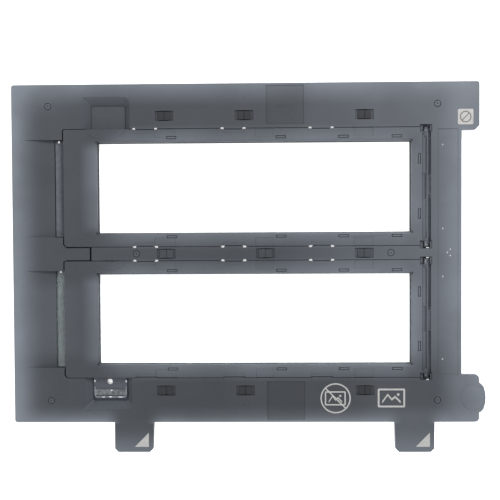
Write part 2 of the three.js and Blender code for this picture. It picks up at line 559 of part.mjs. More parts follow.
function cover(side) {
  const above = Z.top + 2;
  const below = Z.base - 1;
  let plate = prism(coverShape(side, 0, 0, COVER.x0, COVER.x1), Z.coverBottom, Z.top);

  // A lug on the hinge edge closes the seam for a short length.
  plate = join(plate, section([
    [COVER.x1 - 1.5, STOP.bottom],
    [STOP.x, STOP.bottom],
    [STOP.x, STOP.edge],
    [COVER.x1 - 0.5, Z.top],
    [COVER.x1 - 1.5, Z.top],
  ], STOP.from, STOP.to, side));

  // Room below the skin for the pressure frame.
  const hollow = [COVER.x0 + 1.6, 261.8, COVER.inner + 4, COVER.outer - 4];
  plate = cut(plate, bandBox(...hollow, below, Z.coverSkin, side));

  // Opening with a sloping rim, and a round relief in each corner of it.
  const { low, high } = COVER_OPENING;
  const corners = ({ x0, x1, inner, outer }) => (
    mirror([[x0, inner], [x1, inner], [x1, outer], [x0, outer]], side)
  );
  plate = cut(plate,
    bandBox(low.x0, low.x1, low.inner, low.outer, below, Z.bevel + 0.01, side),
    loft(corners(low), corners(high), Z.bevel, Z.top + 0.001));
  for (const [x, y] of corners(low)) {
    plate = cut(plate, disc(x, y, 0.9, Z.coverSkin + 0.8, above, 16));
  }

  // Shallow squares and shelves on the long edges, and slots where the pressure frame clips in.
  const shallow = [
    ...COVER_POCKETS.map(([x0, x1]) => [x0, x1, 5.5, 0.4]),
    ...TONGUE.centres.map((x) => (
      [x - TONGUE.halfWidth, x + TONGUE.halfWidth, TONGUE.shelf, TONGUE.shelfDepth]
    )),
  ];
  for (const [x0, x1, reach, depth] of shallow) {
    plate = cut(plate,
      bandBox(x0, x1, COVER.outer - reach, COVER.outer + 1, Z.top - depth, above, side),
      bandBox(x0, x1, COVER.inner - 1, COVER.inner + reach, Z.top - depth, above, side));
  }
  plate = cut(plate, ...clipPlaces(side).map((place) => clipBox(place, 0, Z.coverBottom, above)));

  // Channel beside the hinge edge, deeper for a length in its middle.
  const padZ = Z.top - GROOVE.padDepth;
  plate = cut(plate,
    section([
      [GROOVE.x0, Z.top + 0.001],
      [GROOVE.x0 + GROOVE.slope, Z.top - GROOVE.depth],
      [GROOVE.x1 - GROOVE.slope, Z.top - GROOVE.depth],
      [GROOVE.x1, Z.top + 0.001],
    ], COVER.inner + 3.5, COVER.outer - 3.5, side),
    bandBox(GROOVE.x0 + 0.4, GROOVE.x1 - 0.4, GROOVE.padFrom, GROOVE.padTo, padZ, above, side));

  // A knuckle around the pin at both ends of the hinge edge.
  for (const { notch, knuckle, bore } of HINGE_ENDS) {
    plate = cut(plate, bandBox(HINGE_NOTCH.x0, COVER.x1 + 1, ...notch, below, above, side));
    plate = join(plate, hingeBar(HINGE.barrelRadius, ...knuckle, side));
    plate = cut(plate, hingeBar(HINGE.holeRadius, ...bore, side));
  }

  // Low finger lift at the rear edge of the cover.
  const lift = side > 0 ? LIFTS.upper : LIFTS.lower;
  const edge = side > 0 ? COVER.outer : -COVER.inner;
  const place = { ...lift, y: edge };
  const swelling = join(dome(place, DOME.height), ellipse(place, Z.top - 0.2, Z.top + DOME.step))
    .intersect(box(COVER.x0, COVER.x1, edge - 20, edge, Z.top - 0.2, above));
  return cut(join(plate, swelling), ...reliefHoles);
}

// Thin frame inside each cover that holds the film's edges down, with clips that show in the
// cover's slots.
function pressureFrame(side) {
  const clear = 0.35;
  const ring = bandBox(
    COVER.x0 + 1.6 + clear, 261.8 - clear, COVER.inner + 4 + clear, COVER.outer - 4 - clear,
    Z.coverBottom, Z.maskTop, side);
  const opening = bandBox(
    WINDOW.x0 - 0.3, WINDOW.x1 + 0.3, WINDOW.inner - 0.3, WINDOW.outer + 0.3, 0, Z.top, side);
  const clips = clipPlaces(side).map((place) => clipBox(place, 0.3, Z.coverBottom + 0.1, Z.top - 0.15));
  return join(cut(ring, opening), ...clips);
}

// Clear plate that keeps the film flat, with a finger tab and a round hole in the tab.
function clearInsert(side) {
  const plate = bandBox(INSERT.x0, INSERT.x1, CHANNEL.inner + 0.4, CHANNEL.outer - 0.4,
    Z.insertBottom, Z.insertTop, side);
  const tab = softRectangle(INSERT.tabX0, INSERT.tabX1, CHANNEL.outer - 3, INSERT.tabFar, 2, 2);
  return cut(join(plate, loft(mirror(tab, side), mirror(tab, side), Z.insertBottom, Z.insertTop)),
    disc(INSERT.holeX, side * INSERT.holeY, 1.3, 0, Z.top, 16));
}

// ---------------------------------------------------------------- small parts
const hingePin = ([near, far], side) => hingeBar(HINGE.pinRadius, near, far, side, 12);

// Round foot with a headed peg that snaps through both mouldings; a bar across its face turns it.
function foot(x, y, radius) {
  const body = join(
    disc(x, y, radius, 0.6, Z.frameTop - 0.9),
    disc(x, y, FOOT.pegRadius, 1.0, FOOT.headZ + 0.1),
    disc(x, y, FOOT.headRadius, FOOT.headZ, Z.top - 0.1),
    box(x - radius * 0.8, x + radius * 0.8, y - 1.5, y + 1.5, 0, 0.8));
  return cut(body, disc(x, y, 0.6, Z.top - 0.7, Z.top + 1, 12));
}

function orientationLabel() {
  const half = LABEL.size / 2;
  return prism(roundedRectangle(LABEL.x - half, LABEL.x + half, LABEL.y - half, LABEL.y + half, 1),
    Z.top + 0.02, Z.top + 0.02 + LABEL.thickness);
}

// ---------------------------------------------------------------- assembly
const carrier = new THREE.Group();

function place(name, shape, finish) {
  const { vertProperties, triVerts } = shape.getMesh();
  const geometry = new THREE.BufferGeometry();
  geometry.setAttribute('position', new THREE.BufferAttribute(new Float32Array(vertProperties), 3));
  geometry.setIndex(new THREE.BufferAttribute(new Uint32Array(triVerts), 1));
  geometry.computeVertexNormals();
  const mesh = new THREE.Mesh(geometry, new THREE.MeshStandardMaterial(FINISH[finish]));
  mesh.name = name;
  carrier.add(mesh);
}

place('top_shell', topShell(), 'shell');
place('under_frame', underFrame(), 'frame');
place('upper_cover', cover(1), 'cover');
place('lower_cover', cover(-1), 'cover');
place('upper_pressure_frame', pressureFrame(1), 'mask');
place('lower_pressure_frame', pressureFrame(-1), 'mask');
place('lower_clear_insert', clearInsert(-1), 'clear');
const [innerEnd, outerEnd] = HINGE_ENDS;
place('upper_cover_rear_pin', hingePin(outerEnd.pin, 1), 'steel');
place('upper_cover_front_pin', hingePin(innerEnd.pin, 1), 'steel');
place('lower_cover_rear_pin', hingePin(innerEnd.pin, -1), 'steel');
place('lower_cover_front_pin', hingePin(outerEnd.pin, -1), 'steel');
for (const [name, x, y, radius] of FEET) {
  place(name, foot(x, y, radius), 'foot');
}
place('orientation_label', orientationLabel(), 'paper');

// The origin is the centre of the footprint, on the glass.
carrier.position.set(-THUMB.right / 2, TAB.reach / 2, 0);

export default carrier;
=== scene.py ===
"""Looks for the roll-film scanner carrier: materials, softened edges, printed marks, light and camera."""
import json
import math

import bpy
from mathutils import Matrix, Vector


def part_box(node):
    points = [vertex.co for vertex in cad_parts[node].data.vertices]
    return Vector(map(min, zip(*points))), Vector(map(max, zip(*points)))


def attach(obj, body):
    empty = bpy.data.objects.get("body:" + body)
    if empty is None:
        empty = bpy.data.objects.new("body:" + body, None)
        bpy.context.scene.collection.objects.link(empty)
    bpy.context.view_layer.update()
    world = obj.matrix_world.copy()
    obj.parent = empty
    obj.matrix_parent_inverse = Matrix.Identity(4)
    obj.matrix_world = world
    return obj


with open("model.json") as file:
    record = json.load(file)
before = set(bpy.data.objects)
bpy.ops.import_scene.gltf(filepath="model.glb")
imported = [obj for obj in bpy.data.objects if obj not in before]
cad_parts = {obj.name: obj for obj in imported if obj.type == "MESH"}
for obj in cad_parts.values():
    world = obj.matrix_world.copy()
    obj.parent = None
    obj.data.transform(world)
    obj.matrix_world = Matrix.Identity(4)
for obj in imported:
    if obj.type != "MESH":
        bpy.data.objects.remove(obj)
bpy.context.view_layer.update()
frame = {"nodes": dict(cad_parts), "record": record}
NODES = frame["nodes"]
MM = 0.001

# ------------------------------------------------------------------ places, all worked out from the frame
SHELL_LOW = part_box("top_shell")[0]
LABEL_LOW, LABEL_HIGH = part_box("orientation_label")
TAB_REACH = 19.4 * MM  # how far the two locating tabs stand out from the plate's front edge
PLATE_WIDTH = 217 * MM
PLATE_LEFT = SHELL_LOW.x
PLATE_MIDDLE = SHELL_LOW.y + TAB_REACH + PLATE_WIDTH / 2
DOME_RISE = 0.9 * MM  # how far the thumb dome stands above the flat top face
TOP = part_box("top_shell")[1].z - DOME_RISE
SHEET_THICKNESS = 0.04 * MM


def at(x, y, z=TOP):
    """A point given in millimetres from the plate's left edge and its middle line."""
    return Vector((PLATE_LEFT + x * MM, PLATE_MIDDLE + y * MM, z))


# ------------------------------------------------------------------ node helpers
class Nodes:
    """A short way to write a material's node tree."""

    def __init__(self, name):
        self.material = bpy.data.materials.new(name)
        self.material.use_nodes = True
        self.tree = self.material.node_tree
        self.tree.nodes.clear()
        self.position = self.add("ShaderNodeTexCoord").outputs["Object"]
        place = self.add("ShaderNodeSeparateXYZ")
        self.link(self.position, place.inputs[0])
        self.x, self.y, self.z = place.outputs

    def add(self, kind, **settings):
        node = self.tree.nodes.new(kind)
        for key, value in settings.items():
            setattr(node, key, value)
        return node

    def link(self, source, target):
        if isinstance(source, bpy.types.NodeSocket):
            self.tree.links.new(source, target)
        else:
            target.default_value = source

    def math(self, operation, a, b=0.0, clamp=False):
        node = self.add("ShaderNodeMath", operation=operation, use_clamp=clamp)
        self.link(a, node.inputs[0])
        self.link(b, node.inputs[1])
        return node.outputs[0]

    def product(self, *values):
        whole = values[0]
        for value in values[1:]:
            whole = self.math("MULTIPLY", whole, value)
        return whole

    def inverse(self, value):
        return self.math("SUBTRACT", 1.0, value, clamp=True)

    def noise(self, scale, detail=3.0, roughness=0.5, stretch=(1, 1, 1)):
        mapping = self.add("ShaderNodeMapping")
        mapping.inputs["Scale"].default_value = stretch
        self.link(self.position, mapping.inputs["Vector"])
        node = self.add("ShaderNodeTexNoise")
        self.link(mapping.outputs[0], node.inputs["Vector"])
        node.inputs["Scale"].default_value = scale
        node.inputs["Detail"].default_value = detail
        node.inputs["Roughness"].default_value = roughness
        return node.outputs["Fac"]

    def grains(self, scale):
        node = self.add("ShaderNodeTexVoronoi", feature="F1")
        self.link(self.position, node.inputs["Vector"])
        node.inputs["Scale"].default_value = scale
        return node.outputs["Distance"]

    def ramp(self, value, low, high, start=0.0, end=1.0, kind="SMOOTHSTEP"):
        """From low to high as the value goes from start to end, soft at both ends unless kind is LINEAR."""
        node = self.add("ShaderNodeMapRange", interpolation_type=kind)
        self.link(value, node.inputs["Value"])
        node.inputs["From Min"].default_value = start
        node.inputs["From Max"].default_value = end
        node.inputs["To Min"].default_value = low
        node.inputs["To Max"].default_value = high
        return node.outputs[0]

    def part_way(self, axis, low, high):
        """Goes from 0 to 1 as one coordinate, in millimetres as in at(), goes from low to high."""
        value, origin = {
            "x": (self.x, PLATE_LEFT), "y": (self.y, PLATE_MIDDLE), "z": (self.z, 0.0)}[axis]
        return self.ramp(value, 0, 1, origin + low * MM, origin + high * MM)

    def between(self, axis, rise, fall):
        """1 between two stretches of one coordinate: it rises over the first and falls over the second."""
        return self.product(self.part_way(axis, *rise), self.inverse(self.part_way(axis, *fall)))

    def off_line(self, middle):
        """How far a point lies from a line along the film, to either side, in metres."""
        return self.math("ABSOLUTE", self.math("SUBTRACT", self.y, middle))

    def blend(self, factor, first, second):
        node = self.add("ShaderNodeMix", data_type="RGBA")
        self.link(factor, node.inputs[0])
        for value, socket in ((first, node.inputs[6]), (second, node.inputs[7])):
            if isinstance(value, tuple):
                value = (*value, 1.0)
            self.link(value, socket)
        return node.outputs[2]

    def bump(self, height, strength, distance, normal=None):
        node = self.add("ShaderNodeBump")
        node.inputs["Strength"].default_value = strength
        node.inputs["Distance"].default_value = distance
        self.link(height, node.inputs["Height"])
        if normal is not None:
            self.link(normal, node.inputs["Normal"])
        return node.outputs[0]

    def surface(self, **inputs):
        shader = self.add("ShaderNodeBsdfPrincipled")
        for key, value in inputs.items():
            self.link(value, shader.inputs[key.replace("_", " ")])
        output = self.add("ShaderNodeOutputMaterial")
        self.link(shader.outputs[0], output.inputs["Surface"])
        return self.material


def srgb(red, green, blue):
    """A colour given as 0 to 255, as the linear values that Blender works in."""
    def linear(value):
        value /= 255
        return value / 12.92 if value <= 0.04045 else ((value + 0.055) / 1.055) ** 2.4
    return tuple(linear(value) for value in (red, green, blue))


# ------------------------------------------------------------------ materials
# Painted light standing in for glare and uneven light: how strongly, from which line inwards, and how far,
# all in millimetres.
# A linear fade is even; the others start and end softly. Both fall faster with a higher power.
LEFT_GLOW = {"strength": 0.92, "from": -1.0, "reach": 26.0, "power": 2}
RIGHT_GLOW = {"strength": 0.8, "from": 289.0, "reach": 20.0, "power": 1}
HINGE_SIDE_GLOW = {"strength": 0.35, "from": 265.0, "reach": 100.0, "power": 1, "kind": "LINEAR"}
THUMB_GLOW = {"strength": 0.8, "from": 304.0, "reach": 18.0, "power": 1}
REAR_GLOW = {"strength": 0.78, "from": 109.0, "reach": 15.0, "power": 1.3, "kind": "LINEAR"}
FRONT_GLOW = {"strength": 0.85, "from": -109.0, "reach": 13.0, "power": 2, "kind": "LINEAR"}
CORNER_GLOW = {"strength": 0.22, "from": 0.0, "reach": 60.0, "power": 1}
LEFT_FRONT_BAY_GLOW = {"strength": 0.13, "from": 28.0, "reach": 30.0, "power": 1}
TAB_GLOW = {"strength": 0.52, "from": -129.0, "reach": 24.0, "power": 2}
RIGHT_TAB_GLOW = 0.17
WINDOW_GLOW = {"strength": 0.46, "reach": 9.5, "power": 1, "kind": "LINEAR"}
WINDOW_RIMS = [(53.3, 257.3, 12.0, 73.0), (53.3, 257.3, -73.0, -12.0)]

# Stretches of x or y over which some of that painted glow comes in or fades out.
HINGE_SIDE_STARTS = (-80.0, -52.0)
REAR_CORNER_STARTS = (84.0, 100.0)
LEFT_FRONT_BAY_STARTS, LEFT_FRONT_BAY_ENDS = (-70.0, -60.0), (-26.0, -14.0)
PLATE_STARTS = (-109.5, -109.4)
TAB_SPANS = [(64.0, 90.5), (244.2, 270.6)]
TAB_SOFTNESS = 6.0
RIGHT_TAB_STARTS, RIGHT_TAB_ENDS = (236.0, 250.0), (-106.0, -96.0)
# The painted glow is weaker at the windows' corners than along their sides: where along x, and how far from
# the window's middle.
LEFT_CORNER_ENDS, LEFT_CORNER_OFF = (50.0, 80.0), (22.0, 31.0)
RIGHT_CORNER_STARTS, RIGHT_CORNER_OFF, RIGHT_CORNER_SHARE = (246.0, 258.0), (16.0, 30.0), 0.75


def painted_rim_glow(n):
    """How much painted light pales the plastic, in place of glare: most at the rim, the finger tabs and
    around the two windows.
    """
    def inwards(value, limit, way):
        return n.math("MULTIPLY", n.math("SUBTRACT", value, limit), way)

    def fade(distance, fading):
        part = n.ramp(distance, 1, 0, 0, fading["reach"] * MM, fading.get("kind", "SMOOTHSTEP"))
        return n.math("MULTIPLY", n.math("POWER", part, fading["power"]), fading["strength"])

    def from_left(fading):
        return fade(inwards(n.x, at(fading["from"], 0).x, 1), fading)

    def from_right(fading):
        return fade(inwards(n.x, at(fading["from"], 0).x, -1), fading)

    def from_front(fading):
        return fade(inwards(n.y, at(0, fading["from"]).y, 1), fading)

    def from_rear(fading):
        return fade(inwards(n.y, at(0, fading["from"]).y, -1), fading)

    def off_window(middle, stretch):
        return n.ramp(n.off_line(middle), 0, 1, stretch[0] * MM, stretch[1] * MM)

    behind = n.part_way("y", *HINGE_SIDE_STARTS)
    beside_tabs = n.part_way("y", *PLATE_STARTS)
    for x0, x1 in TAB_SPANS:
        on_tab = n.between(
            "x", (x0 - TAB_SOFTNESS, x0 + TAB_SOFTNESS), (x1 - TAB_SOFTNESS, x1 + TAB_SOFTNESS))
        beside_tabs = n.product(beside_tabs, n.inverse(on_tab))
    on_right_tab = n.product(n.part_way("x", *RIGHT_TAB_STARTS), n.inverse(n.part_way("y", *RIGHT_TAB_ENDS)))
    parts = [
        from_left(LEFT_GLOW),
        n.product(from_right(RIGHT_GLOW), n.ramp(behind, 0.6, 1.0)),
        n.product(from_right(HINGE_SIDE_GLOW), behind),
        n.product(from_right(THUMB_GLOW), n.ramp(behind, 1, 0)),
        n.product(from_left(CORNER_GLOW), n.part_way("y", *REAR_CORNER_STARTS)),
        n.product(from_left(LEFT_FRONT_BAY_GLOW), n.between("y", LEFT_FRONT_BAY_STARTS, LEFT_FRONT_BAY_ENDS)),
        n.product(from_front(FRONT_GLOW), beside_tabs),
        n.product(on_right_tab, RIGHT_TAB_GLOW),
        from_rear(REAR_GLOW),
        from_front(TAB_GLOW)]
    for x0, x1, y0, y1 in WINDOW_RIMS:
        low, high = at(x0, y0), at(x1, y1)
        farthest = inwards(n.x, low.x, -1)
        for distance in (inwards(n.x, high.x, 1), inwards(n.y, low.y, -1), inwards(n.y, high.y, 1)):
            farthest = n.math("MAXIMUM", farthest, distance)
        middle = (low.y + high.y) / 2
        left_corner = n.product(
            n.inverse(n.part_way("x", *LEFT_CORNER_ENDS)), off_window(middle, LEFT_CORNER_OFF))
        right_corner = n.product(
            n.part_way("x", *RIGHT_CORNER_STARTS), off_window(middle, RIGHT_CORNER_OFF), RIGHT_CORNER_SHARE)
        parts.append(n.product(fade(farthest, WINDOW_GLOW), n.inverse(left_corner), n.inverse(right_corner)))
    # Together they never go past full strength.
    return n.inverse(n.product(*[n.inverse(part) for part in parts]))


def moulded_plastic(name, dark, light, glow_colour=None, roughness=0.5, tint=None):
    """Fine-grained moulded plastic; given a glow colour, painted light makes it paler at its rim and around
    its windows.
    """
    n = Nodes(name)
    cloud = n.ramp(n.noise(14, 4, 0.55), 0, 1, 0.36, 0.64)
    speckle = n.ramp(n.noise(900, 2, 0.6), 0, 1, 0.35, 0.65)
    colour = n.blend(cloud, dark, light)
    fine = tuple(min(1.0, value * 1.22) for value in light)
    scratched = tuple(min(1.0, value * 2.1) for value in light)
    colour = n.blend(n.math("MULTIPLY", speckle, 0.28), colour, fine)
    # Painted light: paler toward the rim and the windows, standing in for glare.
    if glow_colour is not None:
        wander = n.ramp(n.noise(26, 3), 0.8, 1.15, 0.3, 0.7)
        colour = n.blend(n.math("MULTIPLY", painted_rim_glow(n), wander, clamp=True), colour, glow_colour)
    if tint is not None:
        colour = tint(n, colour)
    # Hair-fine scratches, long in one direction and short in the other.
    scratch_a = n.ramp(n.noise(60, 2, 0.5, (1, 40, 1)), 0, 1, 0.66, 0.74)
    scratch_b = n.ramp(n.noise(55, 2, 0.5, (34, 1.6, 1)), 0, 1, 0.67, 0.75)
    scratches = n.math("MAXIMUM", scratch_a, scratch_b)
    colour = n.blend(n.math("MULTIPLY", scratches, 0.08), colour, scratched)
    rough = n.math("ADD", n.ramp(n.noise(38, 3), roughness - 0.05, roughness + 0.07, 0.3, 0.7),
                   n.math("MULTIPLY", scratches, -0.08))
    grain = n.bump(n.grains(2600), 0.35, 0.04 * MM)
    normal = n.bump(n.noise(1400, 2, 0.5), 0.25, 0.03 * MM, grain)
    normal = n.bump(n.noise(9, 2, 0.4), 0.35, 0.35 * MM, normal)
    return n.surface(Base_Color=colour, Roughness=rough, Normal=normal, Specular_IOR_Level=0.42)


# Painted light: the pale glow at the rim and the windows.
RIM_GLOW = srgb(105, 110, 118)
# Darker tone: the square panels' own, and painted shade along the front.
DARK_TINT = srgb(20, 21, 23)
# Painted light: paler tones that lift the shade in the seams and beside the lugs.
SEAM_FILL_LIGHT = srgb(112, 117, 126)
HINGE_SEAM_FILL_LIGHT = srgb(118, 123, 131)
LUG_SEAM_FILL_LIGHT = srgb(190, 194, 202)
# Painted light: the recess's walls, paler against their shade.
RECESS_WALL_FILL_LIGHT = srgb(86, 91, 98)
# Painted shade: the hooks down in their windows.
HOOK_SHADE, BAR_HOOK_SHADE = srgb(26, 29, 33), srgb(47, 52, 57)
# Painted shade: the frame under the clear tab.
BELOW_TAB_SHADE = srgb(44, 46, 58)
# Pale streaks at the film's entry: a streaky tone, partly painted light that lifts the shade there.
UPPER_STREAKED_FILL, LOWER_STREAKED_FILL = srgb(80, 85, 92), srgb(90, 95, 97)


def beside_lug(n):
    """1 along the lug in the middle of each cover's hinge edge."""
    off_middle = n.off_line(PLATE_MIDDLE)
    return n.product(
        n.ramp(off_middle, 0, 1, 34.6 * MM, 35.6 * MM), n.ramp(off_middle, 1, 0, 49.4 * MM, 50.4 * MM))


def in_hinge_seam(n):
    """1 in the seams beside the covers' hinge edges, which are painted paler against their shade, and 0 in
    the hinges' notches.
    """
    off_middle = n.off_line(PLATE_MIDDLE)
    return n.product(
        n.between("x", (262.0, 262.5), (270.0, 270.4)), n.inverse(n.part_way("z", 6.8, 7.6)),
        n.ramp(off_middle, 0, 1, 9 * MM, 10 * MM), n.ramp(off_middle, 1, 0, 74 * MM, 75 * MM))


def shell_plastic():
    """The upper moulding: painted paler in its seams and on its recess's walls against their shade, darker in
    the square panels, and with painted shade along its front.
    """
    def tint(n, colour):
        panel = n.product(
            n.between("x", (163.1, 163.3), (187.2, 187.4)), n.between("z", (6.9, 7.0), (7.5, 7.7)))
        # Painted shade: darker along the front, where less light falls.
        front = n.product(n.between("y", (-109, -104), (-84, -76)), n.between("x", (66, 90), (205, 240)))
        shade = n.math("ADD", n.product(panel, 0.2), n.product(front, 0.22))
        colour = n.blend(shade, colour, DARK_TINT)
        # Painted light: the low floors of the seams, paler against their shade.
        seam_fill = n.product(n.part_way("x", 77, 78), n.inverse(n.part_way("z", 4.65, 4.8)))
        colour = n.blend(seam_fill, colour, SEAM_FILL_LIGHT)
        # Painted light: the walls of the recess are painted paler against their shade.
        walls = n.product(n.between("x", (43.5, 44.5), (77, 78)), n.inverse(n.part_way("z", 7.6, 7.95)))
        colour = n.blend(n.product(walls, 0.3), colour, RECESS_WALL_FILL_LIGHT)
        # Painted light in the hinge seams, palest beside the lugs.
        return n.blend(in_hinge_seam(n), colour, n.blend(beside_lug(n), HINGE_SEAM_FILL_LIGHT, LUG_SEAM_FILL_LIGHT))

    return moulded_plastic("shell_plastic", srgb(48, 52, 57), srgb(53, 57, 62), glow_colour=RIM_GLOW, tint=tint)


def under_frame_plastic():
    """The lower moulding: painted shade on its hooks in their windows and under the clear tab, and pale
    streaks at the film's entry, partly painted light.
    """
    def tint(n, colour):
        # Painted shade: all that stands high, the hooks in their windows, is painted dark.
        high = n.part_way("z", 5.2, 6.2)
        on_bar = n.between("y", (-13, -11), (11, 13))
        colour = n.blend(high, colour, n.blend(on_bar, HOOK_SHADE, BAR_HOOK_SHADE))
        # Painted shade under the clear tab.
        below_tab = n.product(
            n.inverse(n.part_way("y", -80, -79)), n.between("x", (48, 49), (74, 75)), n.inverse(high))
        colour = n.blend(below_tab, colour, BELOW_TAB_SHADE)
        # Pale streaks at the film's entry: a streaky tone, and painted light lifting the shade of the ramp's
        # end and the cover's edge.
        streaks = n.ramp(n.noise(300, 3), 0.45, 0.85, 0.35, 0.65)
        streaked_fill = n.product(n.inverse(n.part_way("x", 33, 35)), streaks)
        colour = n.blend(streaked_fill, colour, n.blend(n.part_way("y", -4, 4), LOWER_STREAKED_FILL, UPPER_STREAKED_FILL))
        # Painted light beside the lugs in the hinge seams.
        return n.blend(n.product(in_hinge_seam(n), beside_lug(n)), colour, LUG_SEAM_FILL_LIGHT)

    return moulded_plastic("frame_plastic", srgb(54, 58, 62), srgb(59, 63, 67), tint=tint)


def mottled(name, dark, light, scale, low, high):
    """Surface that changes in soft patches between two tones: the frosted grip of scuffed clear plastic, and
    the painted highlights on the tab's edge.
    """
    n = Nodes(name)
    patches = n.ramp(n.noise(scale, 3, 0.55), 0, 1, low, high)
    return n.surface(Base_Color=n.blend(patches, dark, light), Roughness=0.35,
                     Normal=n.bump(n.noise(900, 2), 0.3, 0.03 * MM))


def clear_acrylic():
    n = Nodes("clear_acrylic")
    smears = n.ramp(n.noise(45, 4, 0.6), 0.01, 0.04, 0.4, 0.7)
    shader = n.add("ShaderNodeBsdfPrincipled")
    shader.inputs["Base Color"].default_value = (0.93, 0.96, 0.95, 1)
    shader.inputs["IOR"].default_value = 1.49
    shader.inputs["Transmission Weight"].default_value = 1.0
    n.link(smears, shader.inputs["Roughness"])
    see = n.add("ShaderNodeBsdfTransparent")
    see.inputs["Color"].default_value = (0.97, 0.985, 0.98, 1)
    # Lamps light what lies under the plate straight through it.
    path = n.add("ShaderNodeLightPath")
    mix = n.add("ShaderNodeMixShader")
    n.link(path.outputs["Is Shadow Ray"], mix.inputs[0])
    n.link(shader.outputs[0], mix.inputs[1])
    n.link(see.outputs[0], mix.inputs[2])
    output = n.add("ShaderNodeOutputMaterial")
    n.link(mix.outputs[0], output.inputs["Surface"])
    return n.material


def drawn_steel():
    n = Nodes("drawn_steel")
    lines = n.noise(400, 3, 0.6, (1, 0.05, 1))
    colour = n.blend(lines, (0.42, 0.43, 0.44), (0.62, 0.63, 0.64))
    return n.surface(Base_Color=colour, Metallic=1.0, Roughness=n.ramp(lines, 0.26, 0.42, 0.3, 0.7),
                     Normal=n.bump(lines, 0.2, 0.02 * MM))


def label_film():
    n = Nodes("label_film")
    tint = n.ramp(n.noise(180, 3), 0, 1, 0.3, 0.7)
    colour = n.blend(tint, srgb(156, 154, 152), srgb(166, 164, 161))
    return n.surface(Base_Color=colour, Roughness=0.5, Normal=n.bump(n.noise(1200, 2), 0.2, 0.02 * MM))


def pad_ink(name, colour, thin):
    """Printed ink that lies a little uneven, so that the plastic below darkens it in places."""
    n = Nodes(name)
    fading = n.ramp(n.noise(650, 3, 0.6), 0, 1, 0.42, 0.72)
    colour = n.blend(n.math("MULTIPLY", fading, 0.35), colour, thin)
    return n.surface(Base_Color=colour, Roughness=0.6, Normal=n.bump(n.noise(1500, 2), 0.3, 0.02 * MM))


MATERIALS = {
    "shell_plastic": shell_plastic(),
    "frame_plastic": under_frame_plastic(),
    "cover_plastic": moulded_plastic("cover_plastic", srgb(47, 51, 56), srgb(52, 56, 61), glow_colour=RIM_GLOW),
    "mask_plastic": moulded_plastic("mask_plastic", srgb(47, 51, 56), srgb(52, 56, 61), glow_colour=RIM_GLOW),
    "foot_plastic": moulded_plastic("foot_plastic", srgb(56, 60, 65), srgb(61, 65, 70), glow_colour=RIM_GLOW),
    "clear_acrylic": clear_acrylic(),
    "pin_steel": drawn_steel(),
    "label_film": label_film(),
}
PALE_INK = pad_ink("pale_ink", srgb(156, 156, 153), srgb(120, 122, 123))
GREY_INK = pad_ink("grey_ink", srgb(92, 91, 88), srgb(108, 107, 103))
FROST = mottled("frosted_grip", srgb(62, 66, 71), srgb(108, 111, 111), 520, 0.3, 0.7)
EDGE_LIGHT = mottled("lit_edge", srgb(76, 80, 84), srgb(138, 141, 143), 700, 0.25, 0.55)
GLINT = mottled("edge_glint", srgb(214, 218, 222), srgb(238, 240, 242), 500, 0.3, 0.7)

EDGE_WIDTH = 0.2 * MM
LABEL_EDGE_WIDTH = 0.06 * MM
JOIN_DISTANCE = 0.03 * MM


def finish_node(node, slot_name):
    """Softens a CAD part's edges as a mould does, and gives it its material."""
    node.data.materials.clear()
    node.data.materials.append(MATERIALS[slot_name])
    for face in node.data.polygons:
        face.use_smooth = True
    # The faces arrive apart from each other: they are joined first, or their edges could not be rounded.
    joined = node.modifiers.new("join_faces", "WELD")
    joined.merge_threshold = JOIN_DISTANCE
    # Flat faces are merged and split afresh, because the slivers between them would show as lines.
    flat = node.modifiers.new("merge_flat_faces", "DECIMATE")
    flat.decimate_type = "DISSOLVE"
    flat.angle_limit = math.radians(1)
    node.modifiers.new("split_faces", "TRIANGULATE")
    edge = node.modifiers.new("moulded_edges", "BEVEL")
    edge.width = LABEL_EDGE_WIDTH if node.name == "orientation_label" else EDGE_WIDTH
    edge.segments = 2
    edge.limit_method = "ANGLE"
    edge.angle_limit = math.radians(40)
    edge.use_clamp_overlap = False
    edge.loop_slide = False
    shading = node.modifiers.new("even_shading", "WEIGHTED_NORMAL")
    shading.keep_sharp = False


for part in frame["record"]["subparts"]:
    finish_node(NODES[part["node"]], part["material_slot"])


# ------------------------------------------------------------------ printed marks
def thin_sheet(name, outlines, material, z, body="base"):
    """A thin printed mark, frosted patch or sheet of painted highlights. Each outline is a closed run of
    points, and one inside another cuts a hole.
    """
    curve = bpy.data.curves.new(name, "CURVE")
    curve.dimensions = "2D"
    curve.fill_mode = "BOTH"
    curve.extrude = SHEET_THICKNESS / 2
    for points in outlines:
        spline = curve.splines.new("POLY")
        spline.points.add(len(points) - 1)
        for point, (x, y) in zip(spline.points, points):
            place = at(x, y)
            point.co = (place.x, place.y, 0, 1)
        spline.use_cyclic_u = True
    shaped = bpy.data.objects.new(name + "_outline", curve)
    bpy.context.scene.collection.objects.link(shaped)
    bpy.context.view_layer.update()
    mesh = bpy.data.meshes.new_from_object(shaped.evaluated_get(bpy.context.evaluated_depsgraph_get()))
    bpy.data.objects.remove(shaped)
    mesh.name = name
    mesh.materials.clear()
    mesh.materials.append(material)
    mesh.transform(Matrix.Translation((0, 0, z + SHEET_THICKNESS / 2)))
    mark = bpy.data.objects.new(name, mesh)
    bpy.context.scene.collection.objects.link(mark)
    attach(mark, body)
    return mark


def circle(x, y, radius, steps=72):
    turns = [2 * math.pi * i / steps for i in range(steps)]
    return [(x + radius * math.cos(turn), y + radius * math.sin(turn)) for turn in turns]


